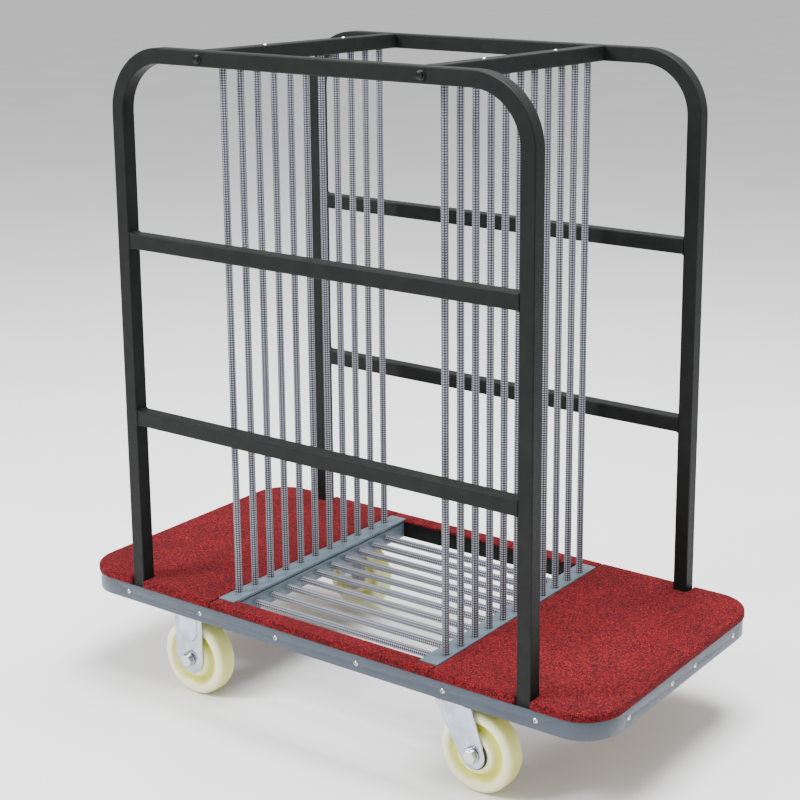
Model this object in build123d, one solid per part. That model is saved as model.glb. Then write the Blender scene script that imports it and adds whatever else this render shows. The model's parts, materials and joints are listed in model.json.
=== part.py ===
from build123d import *
import math
import os

# Hotel luggage cart. Millimetres, +Z up, +X along the deck, origin on the floor under the middle.
# -Y is the near long side and +Y the far one. Fixed casters are at the -X end, swivel casters at +X.

# ---------------------------------------------------------------- driving dimensions
# deck
deck_length = 1258.0          # over the edge band
deck_width = 616.0            # over the edge band
deck_corner_r = 78.0          # outside corner of the edge band
band_thick = 3.0
band_height = 34.0
band_drop = 16.0              # top of the carpet to the top of the band
carpet_thick = 5.0
carpet_bulge = 3.0            # how far the wrapped carpet stands out past the band
carpet_soft_r = 4.0           # rounding of the wrapped carpet edge
carpet_seam_gap = 0.5         # gap between neighbouring carpet pieces
leg_notch_gap = 1.0
strip_overhang = 3.0          # how far each side strip stands out over the opening
board_thick = 12.0
board_gap = 0.5
# welded base frame under the deck
base_tube_w = 30.0
base_tube_h = 35.0
base_tube_wall = 2.0
ledge_width = 25.0
ledge_thick = 3.0
cross_channel_gap = 2.0       # between a cord rail and the cross channel beside it
cross_channel_width = 108.0
cross_channel_thick = 3.0
caster_bar_margin = 6.0       # of the flat bar under the frame, past each side of a top plate
caster_bar_thick = 6.0
caster_bar_inset = 2.0        # from each end of the bar to the outside of the base frame
# opening in the deck and the bars on each side of it
cord_bar_width = 40.0
cord_bar_thick = 5.0
deck_panel = 359.0            # end of the deck to the bar beside the opening
cord_bar_lap = 8.0            # length of bar that lies on each base rail
cord_rail_gap = 3.0           # shadow gap between bar and rail
cord_rail_height = 32.0
cord_rail_wall = 2.0
spacer_length = 12.0          # along Y
spacer_width = 8.0
spacer_inset = 1.0
# side frames
tube = 30.0
tube_wall = 1.5
tube_corner_r = 2.5
frame_inset = 141.5           # end of the deck to the outside of a leg
frame_height = 1089.0         # top of the carpet to the top of the frame
frame_bend_r = 112.5          # centre line of the top bends
upper_rail_top = 724.0        # above the carpet
lower_rail_top = 362.0        # above the carpet
# cords
cord_dia = 14.0
cord_hole_clearance = 0.5     # radial
cord_end_margin = 37.5        # base rail to the middle of the end cord
cord_count = 11
floor_cord_drop = 25.0        # top of the carpet to the floor cords' centre lines
upright_low_gap = 4.0         # cord end to the bottom wall of its rail
upright_high_gap = 3.0        # cord end to the top wall of its cross rail
floor_cord_past = 8.0         # cord end past the centre line of its rail
ferrule_thick = 2.5
ferrule_length = 12.0
# cross rails
cord_row_offset = 7.0         # middle of a bar to its row of cords and cross rail
plug_cord_gap = 4.0           # end of a plug to the ferrule of the end cord
plug_clearance = 0.1
cross_screw_gap = 2           # the gap between cords, from each end, that holds a rail screw
# casters
wheel_dia = 160.0
wheel_width = 46.0
wheel_rim = 19.0              # depth of the raised rim
wheel_recess = 9.0            # dish between rim and hub
tread_edge_r = 9.0            # rounding from the tread to the side
hub_dia = 74.0
hub_length = 50.0
hub_bevel = 3.0
dish_slope = 5.0              # radial length of each slope of the dish
bush_half_gap = 1.0           # each bush stops this far from the middle of the hub
bearing_thick = 5.0
bearing_flange_dia = 60.0
bearing_flange = 2.0
axle_dia = 16.0
running_clearance = 0.05      # radial, in every bearing
fork_gap = 56.0               # between the two cheeks
fork_thick = 3.0
caster_rise = 24.0            # top of the wheel to the top of its plate
caster_hole_margin = 9.0      # fixed fork's cheek to a bolt centre, along X
caster_hole_edge = 8.0        # bolt centre to the end of the plate
caster_plate_y = 80.0
caster_plate_thick = 4.0
caster_hole_y = 58.0          # bolt spacing
caster_plate_corner_r = 6.0
caster_bolt_dia = 8.0
caster_bolt_tip_gap = 0.5     # bolt tip to the underside of the base rail
bolt_hole_clearance = 0.5
fixed_caster_inset = 281.0    # end of the deck to the middle of the caster
swivel_kingpin_inset = 316.0
swivel_trail = 42.0
caster_edge_inset = 3.0       # top plate to the outside of the base frame
fixed_fork_width = 72.0
fixed_fork_drop = 30.0        # cheek below the middle of the axle
rib_width = 48.0
rib_out = 3.0
rib_end = 64.0                # middle of the rib's round end above the axle
rib_taper = 25.0              # degrees
swivel_fork_top = 80.0
swivel_fork_end_r = 27.0
swivel_fork_thick = 4.0
race_outer_r = 33.0
race_depth = 5.0
race_gap = 0.1
ball_dia = 5.0
ball_ring_r = 25.0
ball_count = 16
dust_lip_thick = 3.0
dust_lip_gap = 1.0
kingpin_dia = 12.0
kingpin_head_r = 10.0
kingpin_head = 5.0
kingpin_head_gap = 0.3
kingpin_head_round = 2.0
# fasteners
band_screw_dia = 11.0
band_screw_count = 6          # along each long side
band_screw_end = 51.0         # last screw to the start of a corner, on the long sides
band_end_screw_inner = 45.0   # from the middle of each end
band_end_screw_outer = 25.0   # from the start of a corner
band_screw_shank = 5.0
band_screw_depth = 12.0
band_screw_dome = 3.0
band_hole_clearance = 0.2     # radial, in the band
pilot_clearance = 0.02        # radial, in the base frame
cross_screw_head = 9.0
cross_screw_shank = 4.0
cross_screw_depth = 8.0
cross_screw_dome = 2.5
frame_bolt_dia = 8.0
frame_bolt_af = 13.0
frame_bolt_head = 5.3
frame_bolt_tip_gap = 2.0      # bolt tip to the inner end of its plug
washer_dia = 18.0
washer_thick = 1.6
axle_head_af = 24.0
axle_head_thick = 10.0
axle_head_chamfer = 0.8
axle_nut_thick = 10.0
axle_washer_dia = 30.0
axle_washer_thick = 2.0
axle_tail = 2.0               # axle bolt past its nut

# ---------------------------------------------------------------- worked out from the above
deck_height = wheel_dia + caster_rise + caster_bar_thick + base_tube_h + carpet_thick
frame_span = deck_length - 2 * frame_inset
cord_bar_x = deck_length / 2 - deck_panel - cord_bar_width / 2    # and of the rail below it
cross_rail_x = cord_bar_x + cord_row_offset
z_band_top = deck_height - band_drop
z_band_low = z_band_top - band_height
z_base_top = deck_height - carpet_thick
z_base_low = z_base_top - base_tube_h
z_board_low = z_base_top - board_thick
z_bar_low = deck_height - cord_bar_thick
z_rail_top = z_bar_low - cord_rail_gap
z_rail_low = z_rail_top - cord_rail_height
z_floor_cords = deck_height - floor_cord_drop
z_frame_top = deck_height + frame_height
frame_half_x = frame_span / 2
base_half_x = deck_length / 2 - band_thick
base_half_y = deck_width / 2 - band_thick
frame_y = base_half_y - tube / 2          # centre plane of each side frame
opening_y = base_half_y - base_tube_w     # inner face of each base rail
bar_inner_x = cord_bar_x - cord_bar_width / 2
bar_outer_x = cord_bar_x + cord_bar_width / 2
cross_channel_x = bar_outer_x + cross_channel_gap + cross_channel_width / 2
base_corner_r = deck_corner_r - band_thick
cord_pitch = 2 * (opening_y - cord_end_margin) / (cord_count - 1)
cord_r = cord_dia / 2
cord_hole_r = cord_r + cord_hole_clearance
upright_low = z_rail_low + cord_rail_wall + upright_low_gap
upright_high = z_frame_top - tube_wall - upright_high_gap
floor_end_x = cord_bar_x + floor_cord_past
row_y = [(i - (cord_count - 1) / 2) * cord_pitch for i in range(cord_count)]
gap_y = [(a + b) / 2 for a, b in zip(row_y, row_y[1:])]
cross_half_y = base_half_y - tube         # cross rails run between the side frames
plug_length = cross_half_y - row_y[-1] - cord_r - ferrule_thick - plug_cord_gap
frame_bolt_engaged = plug_length - frame_bolt_tip_gap
z_cross = z_frame_top - tube / 2
band_screw_pitch = 2 * (deck_length / 2 - deck_corner_r - band_screw_end) / (band_screw_count - 1)
band_end_screws = (band_end_screw_inner, deck_width / 2 - deck_corner_r - band_end_screw_outer)
bearing_dia = axle_dia + 2 * bearing_thick
caster_hole_x = fixed_fork_width + 2 * caster_hole_margin
caster_plate_x = caster_hole_x + 2 * caster_hole_edge
caster_bar_width = caster_plate_x + 2 * caster_bar_margin
fixed_caster_x = fixed_caster_inset - deck_length / 2
swivel_caster_x = deck_length / 2 - swivel_kingpin_inset
wheel_r = wheel_dia / 2
z_axle = wheel_r
z_bar_under = z_base_low - caster_bar_thick
z_plate_low = z_bar_under - caster_plate_thick
caster_y = base_half_y - caster_edge_inset - caster_plate_y / 2
crown_top = z_plate_low - race_depth - ball_dia - 2 * race_gap
caster_holes = [
    (sx * caster_hole_x / 2, sy * caster_hole_y / 2) for sx in (-1, 1) for sy in (-1, 1)
]
casters = {
    "fixed_near": (fixed_caster_x, -caster_y),
    "fixed_far": (fixed_caster_x, caster_y),
    "swivel_near": (swivel_caster_x, -caster_y),
    "swivel_far": (swivel_caster_x, caster_y),
}

os.makedirs("parts", exist_ok=True)


def save(name, solids):
    """Write one node. Several separate solids go in as one group."""
    flat = []
    for item in solids if isinstance(solids, (list, tuple)) else [solids]:
        flat += list(item.solids())
    shape = flat[0] if len(flat) == 1 else Compound(children=flat)
    shape.label = name
    export_step(shape, f"parts/{name}.step")


def box(x0, x1, y0, y1, z0, z1):
    """A block given by its limits."""
    centre = ((x0 + x1) / 2, (y0 + y1) / 2, (z0 + z1) / 2)
    return Pos(*centre) * Box(x1 - x0, y1 - y0, z1 - z0)


def rod(radius, start, axis, length):
    """A cylinder from a start point along "x", "y" or "z"; a negative length runs backwards."""
    turn = {"x": Rot(0, 90, 0), "y": Rot(-90, 0, 0), "z": Rot(0, 0, 0)}[axis]
    step = {"x": (1, 0, 0), "y": (0, 1, 0), "z": (0, 0, 1)}[axis]
    middle = [s + d * length / 2 for s, d in zip(start, step)]
    return Pos(*middle) * turn * Cylinder(radius, abs(length))


def hexagon_block(across_flats, start, axis, length):
    """A hexagonal head or nut, placed as rod() places a cylinder."""
    turn = {"x": Rot(0, 90, 0), "y": Rot(-90, 0, 0), "z": Rot(0, 0, 0)}[axis]
    step = {"x": (1, 0, 0), "y": (0, 1, 0), "z": (0, 0, 1)}[axis]
    middle = [s + d * length / 2 for s, d in zip(start, step)]
    flat = RegularPolygon(across_flats / 2, 6, major_radius=False)
    return Pos(*middle) * turn * Pos(0, 0, -abs(length) / 2) * extrude(flat, abs(length))


def rounded_plate(half_x, half_y, corner_r, z0, z1):
    """A flat slab with rounded corners."""
    return Pos(0, 0, z0) * extrude(RectangleRounded(2 * half_x, 2 * half_y, corner_r), z1 - z0)


def square_tube(length):
    """The side frames' tube, along +X from the origin."""
    outer = RectangleRounded(tube, tube, tube_corner_r)
    inner = RectangleRounded(tube - 2 * tube_wall, tube - 2 * tube_wall, tube_corner_r - tube_wall)
    return extrude(Plane.YZ * (outer - inner), length)


# ---------------------------------------------------------------- base frame
def base_ring():
    """The whole bent outline of the base frame, hollow."""
    wall = base_tube_wall
    inner_r = base_corner_r - base_tube_w
    ring = rounded_plate(base_half_x, base_half_y, base_corner_r, z_base_low, z_base_top)
    ring -= rounded_plate(
        base_half_x - base_tube_w, base_half_y - base_tube_w, inner_r, z_base_low, z_base_top
    )
    hollow = rounded_plate(
        base_half_x - wall, base_half_y - wall, base_corner_r - wall, z_base_low + wall, z_base_top - wall
    )
    hollow -= rounded_plate(
        base_half_x - base_tube_w + wall,
        base_half_y - base_tube_w + wall,
        inner_r + wall,
        z_base_low + wall,
        z_base_top - wall,
    )
    ring -= hollow
    for hole in band_screw_holes():
        ring -= hole
    return ring


def make_base_frame():
    ring = base_ring()
    straight = base_half_x - base_corner_r
    tall = (z_base_low - 1, z_base_top + 1)
    span_y = base_half_y + 1
    save("base_rail_near", ring & box(-straight, straight, -span_y, 0, *tall))
    save("base_rail_far", ring & box(-straight, straight, 0, span_y, *tall))
    save("base_end_left", ring & box(-base_half_x - 1, -straight, -span_y, span_y, *tall))
    save("base_end_right", ring & box(straight, base_half_x + 1, -span_y, span_y, *tall))


def make_deck_ledges():
    """Flat bars welded inside the two ends, which the boards rest on."""
    x_out = base_half_x - base_tube_w
    half = base_half_y - base_corner_r
    bars = [
        box(min(s * x_out, s * (x_out - ledge_width)), max(s * x_out, s * (x_out - ledge_width)),
            -half, half, z_board_low - ledge_thick, z_board_low)
        for s in (-1, 1)
    ]
    save("deck_ledges", bars)


def make_cross_channel(name, side):
    """Inverted pressed channel between the base rails, which carries a deck board."""
    x = side * cross_channel_x
    half = cross_channel_width / 2
    wall = cross_channel_thick
    body = box(x - half, x + half, -opening_y, opening_y, z_base_low, z_board_low)
    body -= box(x - half + wall, x + half - wall, -opening_y, opening_y, z_base_low, z_board_low - wall)
    save(name, body)


def make_caster_bars():
    """Flat bars welded across the underside of the base frame, tapped for the caster bolts."""
    half_y = base_half_y - caster_bar_inset
    half_x = caster_bar_width / 2
    bars = []
    for x in (fixed_caster_x, swivel_caster_x):
        bar = box(x - half_x, x + half_x, -half_y, half_y, z_bar_under, z_base_low)
        for sy in (-1, 1):
            for dx, dy in caster_holes:
                start = (x + dx, sy * caster_y + dy, z_bar_under - 1)
                bar -= rod(caster_bolt_dia / 2, start, "z", caster_bar_thick + 2)
        bars.append(bar)
    save("caster_bars", bars)


# ---------------------------------------------------------------- deck
def make_deck_board(name, side):
    """Plywood panel inside the base frame."""
    x_in = side * (bar_outer_x + board_gap)
    x_out = side * (base_half_x - base_tube_w - board_gap)
    half_y = opening_y - board_gap
    corner = base_corner_r - base_tube_w
    lo, hi = min(x_in, x_out), max(x_in, x_out)
    outline = rounded_plate(abs(x_out), half_y, corner, z_board_low, z_base_top)
    board = outline & box(lo, hi, -half_y, half_y, z_board_low, z_base_top)
    save(name, board)


def carpet_cover():
    """Carpet over the whole deck: a sheet wrapped down to the top of the edge band."""
    half_x = deck_length / 2 + carpet_bulge
    half_y = deck_width / 2 + carpet_bulge
    corner = deck_corner_r + carpet_bulge
    cover = rounded_plate(half_x, half_y, corner, z_band_top, deck_height)
    rim = cover.faces().sort_by(Axis.Z)[-1].edges()
    cover = fillet(rim, carpet_soft_r)
    cover -= rounded_plate(base_half_x, base_half_y, base_corner_r, z_band_top - 1, z_base_top)
    return cover


def cut_for_legs(piece):
    """Notches that open outwards, so each leg shows down to the edge band."""
    for sx in (-1, 1):
        for sy in (-1, 1):
            x_in = sx * (frame_half_x - tube - leg_notch_gap)
            x_out = sx * (frame_half_x + leg_notch_gap)
            y_in = sy * (base_half_y - tube - leg_notch_gap)
            y_out = sy * (deck_width / 2 + carpet_bulge + 1)
            piece -= box(
                min(x_in, x_out), max(x_in, x_out), min(y_in, y_out), max(y_in, y_out),
                z_band_top - 1, deck_height + 1,
            )
    return piece


def make_carpets():
    """Two large panels at the ends and a narrow strip along each side of the opening."""
    cover = cut_for_legs(carpet_cover())
    far_x = deck_length
    far_y = deck_width
    tall = (z_band_top - 1, deck_height + 1)
    panel_x = bar_outer_x + carpet_seam_gap
    save("carpet_left", cover & box(-far_x, -panel_x, -far_y, far_y, *tall))
    save("carpet_right", cover & box(panel_x, far_x, -far_y, far_y, *tall))
    strip_y = opening_y - strip_overhang
    for name, sy in (("carpet_strip_near", -1), ("carpet_strip_far", 1)):
        y0, y1 = sorted((sy * strip_y, sy * far_y))
        strip = cover & box(-bar_outer_x, bar_outer_x, y0, y1, *tall)
        y0, y1 = sorted((0, sy * (opening_y + cord_bar_lap + carpet_seam_gap)))
        for sx in (-1, 1):
            x0, x1 = sorted((sx * (bar_inner_x - carpet_seam_gap), sx * (bar_outer_x + 1)))
            strip -= box(x0, x1, y0, y1, *tall)
        save(name, strip)


def band_screw_places():
    """Points on the band's outer face and the outward direction at each."""
    places = []
    for i in range(band_screw_count):
        x = (i - (band_screw_count - 1) / 2) * band_screw_pitch
        places += [((x, -deck_width / 2), "y", -1), ((x, deck_width / 2), "y", 1)]
    for y in band_end_screws:
        for sy in (-1, 1):
            places += [((-deck_length / 2, sy * y), "x", -1), ((deck_length / 2, sy * y), "x", 1)]
    return places


def make_edge_band():
    """Steel strip bent round the whole deck, with a hole for each screw."""
    band = rounded_plate(deck_length / 2, deck_width / 2, deck_corner_r, z_band_low, z_band_top)
    band -= rounded_plate(base_half_x, base_half_y, base_corner_r, z_band_low, z_band_top)
    z = (z_band_low + z_band_top) / 2
    for (x, y), axis, way in band_screw_places():
        band -= rod(band_screw_shank / 2 + band_hole_clearance, (x, y, z), axis, -way * (band_thick + 1))
    save("edge_band", band)


def screw(point, axis, way, head_r, dome, shank_r, depth):
    """A round-headed screw with a cross recess; way is the outward direction along axis."""
    ball_r = (head_r**2 + dome**2) / (2 * dome)
    head = Pos(0, 0, dome - ball_r) * Sphere(ball_r)
    head &= Pos(0, 0, dome / 2) * Box(4 * head_r, 4 * head_r, dome)
    head -= Pos(0, 0, dome) * Box(head_r, head_r / 5, dome)
    head -= Pos(0, 0, dome) * Box(head_r / 5, head_r, dome)
    body = head + Pos(0, 0, -depth / 2) * Cylinder(shank_r, depth)
    turns = {
        ("x", 1): Rot(0, 90, 0), ("x", -1): Rot(0, -90, 0),
        ("y", 1): Rot(-90, 0, 0), ("y", -1): Rot(90, 0, 0), ("z", 1): Rot(0, 0, 0),
    }
    return Pos(*point) * turns[(axis, way)] * body


def make_band_screws():
    z = (z_band_low + z_band_top) / 2
    screws = [
        screw((x, y, z), axis, way, band_screw_dia / 2, band_screw_dome, band_screw_shank / 2,
              band_screw_depth)
        for (x, y), axis, way in band_screw_places()
    ]
    save("band_screws", screws)


def band_screw_holes():
    """Pilot holes in the base frame that the band screws turn into."""
    z = (z_band_low + z_band_top) / 2
    return [
        rod(band_screw_shank / 2 + pilot_clearance, (x, y, z), axis, -way * (band_screw_depth + 1))
        for (x, y), axis, way in band_screw_places()
    ]


# ---------------------------------------------------------------- bars and rails at the opening
def make_cord_bar(name, side):
    """Flat bar flush with the carpet; the upright cords come up through it."""
    half_y = opening_y + cord_bar_lap
    x = side * cord_bar_x
    half = cord_bar_width / 2
    bar = box(x - half, x + half, -half_y, half_y, z_bar_low, deck_height)
    for y in row_y:
        bar -= rod(cord_hole_r, (side * cross_rail_x, y, z_bar_low - 1), "z", cord_bar_thick + 2)
    save(name, bar)


def make_cord_rail(name, side):
    """Box rail below the bar, welded between the base rails; the floor cords go in at its side."""
    x = side * cord_bar_x
    half = cord_bar_width / 2
    wall = cord_rail_wall
    rail = box(x - half, x + half, -opening_y, opening_y, z_rail_low, z_rail_top)
    rail -= box(
        x - half + wall, x + half - wall, -opening_y, opening_y, z_rail_low + wall, z_rail_top - wall
    )
    for y in row_y:
        rail -= rod(cord_hole_r, (side * cross_rail_x, y, z_rail_top + 1), "z", -wall - 2)
    for y in gap_y:
        start = (side * (bar_inner_x - 1), y, z_floor_cords)
        rail -= rod(cord_hole_r, start, "x", side * (wall + 2))
    save(name, rail)


def make_bar_spacers():
    """Short weld spacers that hold each bar off its rail and make the shadow gap."""
    pads = []
    for side in (-1, 1):
        x_edge = side * (bar_outer_x - spacer_inset)
        x0, x1 = sorted((x_edge, x_edge - side * spacer_width))
        for y in gap_y[::3]:
            pads.append(box(x0, x1, y - spacer_length / 2, y + spacer_length / 2, z_rail_top, z_bar_low))
    save("bar_spacers", pads)


# ---------------------------------------------------------------- side frames
def make_side_frame(name, side):
    """One tube bent into an inverted U, standing on its base rail."""
    x = frame_half_x - tube / 2
    z_top = z_frame_top - tube / 2
    z_low = z_base_top
    r = frame_bend_r
    y = side * frame_y
    path = Wire([
        Edge.make_line((-x, y, z_low), (-x, y, z_top - r)),
        Edge.make_three_point_arc(
            (-x, y, z_top - r),
            (-x + r - r * math.cos(math.pi / 4), y, z_top - r + r * math.sin(math.pi / 4)),
            (-x + r, y, z_top),
        ),
        Edge.make_line((-x + r, y, z_top), (x - r, y, z_top)),
        Edge.make_three_point_arc(
            (x - r, y, z_top),
            (x - r + r * math.sin(math.pi / 4), y, z_top - r + r * math.cos(math.pi / 4)),
            (x, y, z_top - r),
        ),
        Edge.make_line((x, y, z_top - r), (x, y, z_low)),
    ])
    start = Plane(origin=(-x, y, z_low), x_dir=(1, 0, 0), z_dir=(0, 0, 1))
    solid = sweep(start * RectangleRounded(tube, tube, tube_corner_r), path=path)
    bore = tube - 2 * tube_wall
    solid -= sweep(start * RectangleRounded(bore, bore, tube_corner_r - tube_wall), path=path)
    for sx in (-1, 1):
        hole = (sx * cross_rail_x, y + side * (tube / 2 + 1), z_cross)
        solid -= rod(frame_bolt_dia / 2 + bolt_hole_clearance, hole, "y", -side * (tube + 2))
    save(name, solid)


def make_mid_rails(name, side):
    """Upper and lower rail welded between the legs of one side frame."""
    inner = frame_half_x - tube
    rails = []
    for top in (upper_rail_top, lower_rail_top):
        z = deck_height + top - tube / 2
        rails.append(Pos(-inner, side * frame_y, z) * square_tube(2 * inner))
    save(name, rails)


# ---------------------------------------------------------------- cross rails
def make_cross_rail(name, side):
    """Top rail between the two side frames; the upright cords go up into it."""
    x = side * cross_rail_x
    rail = Pos(x, -cross_half_y, z_cross) * Rot(0, 0, 90) * square_tube(2 * cross_half_y)
    for y in row_y:
        rail -= rod(cord_hole_r, (x, y, z_cross - tube / 2 - 1), "z", tube_wall + 2)
    for sy in (-1, 1):
        start = (x, sy * gap_y[-1 - cross_screw_gap], z_frame_top + 1)
        rail -= rod(cross_screw_shank / 2, start, "z", -tube_wall - 2)
    save(name, rail)


def make_cross_rail_plugs():
    """Threaded blocks welded in the ends of the cross rails."""
    side_len = tube - 2 * tube_wall - 2 * plug_clearance
    plugs = []
    for sx in (-1, 1):
        for sy in (-1, 1):
            middle = (sx * cross_rail_x, sy * (cross_half_y - plug_length / 2), z_cross)
            outline = RectangleRounded(side_len, side_len, tube_corner_r - tube_wall)
            block = Rot(90, 0, 0) * Pos(0, 0, -plug_length / 2) * extrude(outline, plug_length)
            block = Pos(*middle) * block
            start = (sx * cross_rail_x, sy * (cross_half_y + 1), z_cross)
            plugs.append(block - rod(frame_bolt_dia / 2, start, "y", -sy * (plug_length + 2)))
    save("cross_rail_plugs", plugs)


def make_frame_bolts():
    """Hexagon bolts through the top bars into the plugs, each with its washer as one piece."""
    bolts = []
    for sx in (-1, 1):
        for sy in (-1, 1):
            face = (sx * cross_rail_x, sy * base_half_y, z_cross)
            seat = (face[0], face[1] + sy * washer_thick, z_cross)
            bolt = rod(washer_dia / 2, face, "y", sy * washer_thick)
            bolt += hexagon_block(frame_bolt_af, seat, "y", sy * frame_bolt_head)
            bolt += rod(frame_bolt_dia / 2, face, "y", -sy * (tube + frame_bolt_engaged))
            bolts.append(bolt)
    save("frame_bolts", bolts)


def make_cross_rail_screws():
    y = gap_y[-1 - cross_screw_gap]
    screws = [
        screw((sx * cross_rail_x, sy * y, z_frame_top), "z", 1, cross_screw_head / 2, cross_screw_dome,
              cross_screw_shank / 2, cross_screw_depth)
        for sx in (-1, 1) for sy in (-1, 1)
    ]
    save("cross_rail_screws", screws)


# ---------------------------------------------------------------- elastic cords
def make_upright_cords(name, side):
    x = side * cross_rail_x
    cords = [rod(cord_r, (x, y, upright_low), "z", upright_high - upright_low) for y in row_y]
    save(name, cords)


def make_floor_cords():
    cords = [
        rod(cord_r, (-floor_end_x, y, z_floor_cords), "x", 2 * floor_end_x) for y in gap_y
    ]
    save("cords_floor", cords)


def sleeve(start, axis, length):
    """Crimped ferrule round a cord end, which stops it in its rail."""
    return rod(cord_r + ferrule_thick, start, axis, length) - rod(cord_r, start, axis, length)


def make_ferrules():
    """One ferrule at each end of each cord, hidden inside the rails."""
    ring = []
    for side in (-1, 1):
        x = side * cross_rail_x
        for y in row_y:
            ring.append(sleeve((x, y, upright_low), "z", ferrule_length))
            ring.append(sleeve((x, y, upright_high), "z", -ferrule_length))
        for y in gap_y:
            start = (side * floor_end_x, y, z_floor_cords)
            ring.append(sleeve(start, "x", -side * ferrule_length))
    save("cord_ferrules", ring)


# ---------------------------------------------------------------- casters
def make_wheel(name, x, y):
    """Moulded nylon wheel: crowned tread, dished sides and a hub with a plain bore."""
    half = wheel_width / 2
    hub_half = hub_length / 2
    hub_r = hub_dia / 2
    rim_inner_r = wheel_r - wheel_rim
    tread_edge = wheel_r - tread_edge_r
    crown = half - tread_edge_r
    arc_in = tread_edge_r * (1 - math.sqrt(0.5))
    web = half - wheel_recess
    bore = bearing_dia / 2
    side_up = [
        Line((bore, hub_half), (hub_r - hub_bevel, hub_half)),
        Line((hub_r - hub_bevel, hub_half), (hub_r, hub_half - hub_bevel)),
        Line((hub_r, hub_half - hub_bevel), (hub_r + dish_slope, web)),
        Line((hub_r + dish_slope, web), (rim_inner_r - dish_slope, web)),
        Line((rim_inner_r - dish_slope, web), (rim_inner_r, half)),
        Line((rim_inner_r, half), (tread_edge, half)),
        ThreePointArc((tread_edge, half), (wheel_r - arc_in, half - arc_in), (wheel_r, crown)),
    ]
    side_down = [edge.mirror(Plane.XZ) for edge in side_up]
    tread = Line((wheel_r, crown), (wheel_r, -crown))
    wall = Line((bore, -hub_half), (bore, hub_half))
    profile = make_face(Curve() + side_up + [tread] + side_down + [wall])
    save(name, Pos(x, y, z_axle) * revolve(profile, Axis.Y, 360))


def make_wheel_bearings(name, x, y):
    """Two flanged plain bearings pressed into the hub; their dark flanges shield its ends."""
    pieces = []
    for sy in (-1, 1):
        inner = (x, y + sy * bush_half_gap, z_axle)
        face = (x, y + sy * hub_length / 2, z_axle)
        bush = rod(bearing_dia / 2, inner, "y", sy * (hub_length / 2 - bush_half_gap))
        bush += rod(bearing_flange_dia / 2, face, "y", sy * bearing_flange)
        bush -= rod(axle_dia / 2 + running_clearance, (x, y, z_axle), "y", sy * hub_length)
        pieces.append(bush)
    save(name, pieces)


def make_axle(name_bolt, name_nut, x, y):
    """Axle bolt with its head on the near side, and the locknut on the far side."""
    outside = fork_gap / 2 + fork_thick
    head_seat = y - outside - axle_washer_thick
    shank = 2 * outside + 2 * axle_washer_thick + axle_nut_thick + axle_tail
    bolt = hexagon_block(axle_head_af, (x, head_seat, z_axle), "y", -axle_head_thick)
    bolt += rod(axle_washer_dia / 2, (x, head_seat, z_axle), "y", axle_washer_thick)
    bolt += rod(axle_dia / 2, (x, head_seat, z_axle), "y", shank)
    rim = bolt.faces().sort_by(Axis.Y)[0].edges()
    save(name_bolt, chamfer(rim, axle_head_chamfer))
    seat = y + outside
    nut = rod(axle_washer_dia / 2, (x, seat, z_axle), "y", axle_washer_thick)
    nut += hexagon_block(axle_head_af, (x, seat + axle_washer_thick, z_axle), "y", axle_nut_thick)
    nut -= rod(axle_dia / 2, (x, seat - 1, z_axle), "y", axle_nut_thick + axle_washer_thick + 2)
    save(name_nut, nut)


def caster_plate(x, y):
    """Top plate of a caster with its four bolt holes."""
    outline = RectangleRounded(caster_plate_x, caster_plate_y, caster_plate_corner_r)
    plate = Pos(x, y, z_plate_low) * extrude(outline, caster_plate_thick)
    for dx, dy in caster_holes:
        start = (x + dx, y + dy, z_plate_low - 1)
        plate -= rod(caster_bolt_dia / 2 + bolt_hole_clearance, start, "z", caster_plate_thick + 2)
    return plate


def cheek(outline, y_in, way):
    """One side of a fork: an outline in X and Z made into plate."""
    face = Plane(origin=(0, y_in, 0), x_dir=(1, 0, 0), z_dir=(0, -1, 0)) * outline
    return extrude(face, -way * fork_thick)


def make_fixed_bracket(name, x, y):
    """Fixed caster bracket: plate and two straight cheeks with a pressed rib in each."""
    half = fixed_fork_width / 2
    bracket = caster_plate(x, y)
    z_round = z_axle - fixed_fork_drop + half
    outline = Pos(x, (z_round + z_plate_low) / 2) * Rectangle(2 * half, z_plate_low - z_round)
    outline += Pos(x, z_round) * Circle(half)
    rib_low = z_axle + rib_end
    rib = Pos(x, (rib_low + z_plate_low) / 2) * Rectangle(rib_width, z_plate_low - rib_low)
    rib += Pos(x, rib_low) * Circle(rib_width / 2)
    for way in (-1, 1):
        y_in = y + way * fork_gap / 2
        bracket += cheek(outline, y_in, way)
        face = Plane(origin=(0, y_in + way * fork_thick, 0), x_dir=(1, 0, 0), z_dir=(0, -1, 0)) * rib
        bracket += extrude(face, -way * rib_out, taper=rib_taper)
    bore = (x, y - fork_gap, z_axle)
    bracket -= rod(axle_dia / 2, bore, "y", 2 * fork_gap)
    save(name, bracket)


def make_swivel_plate(name, x, y):
    """Swivel caster top plate with the upper ball race below it."""
    plate = caster_plate(x, y)
    plate += rod(race_outer_r, (x, y, z_plate_low), "z", -race_depth)
    plate -= rod(kingpin_dia / 2, (x, y, z_plate_low - race_depth - 1), "z", 30)
    save(name, plate)


def ball_ring(x, y):
    """Ring of balls between the plate and the fork crown."""
    z = z_plate_low - race_depth - race_gap - ball_dia / 2
    balls = []
    for i in range(ball_count):
        angle = 2 * math.pi * i / ball_count
        place = (x + ball_ring_r * math.cos(angle), y + ball_ring_r * math.sin(angle), z)
        balls.append(Pos(*place) * Sphere(ball_dia / 2))
    return balls


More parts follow.
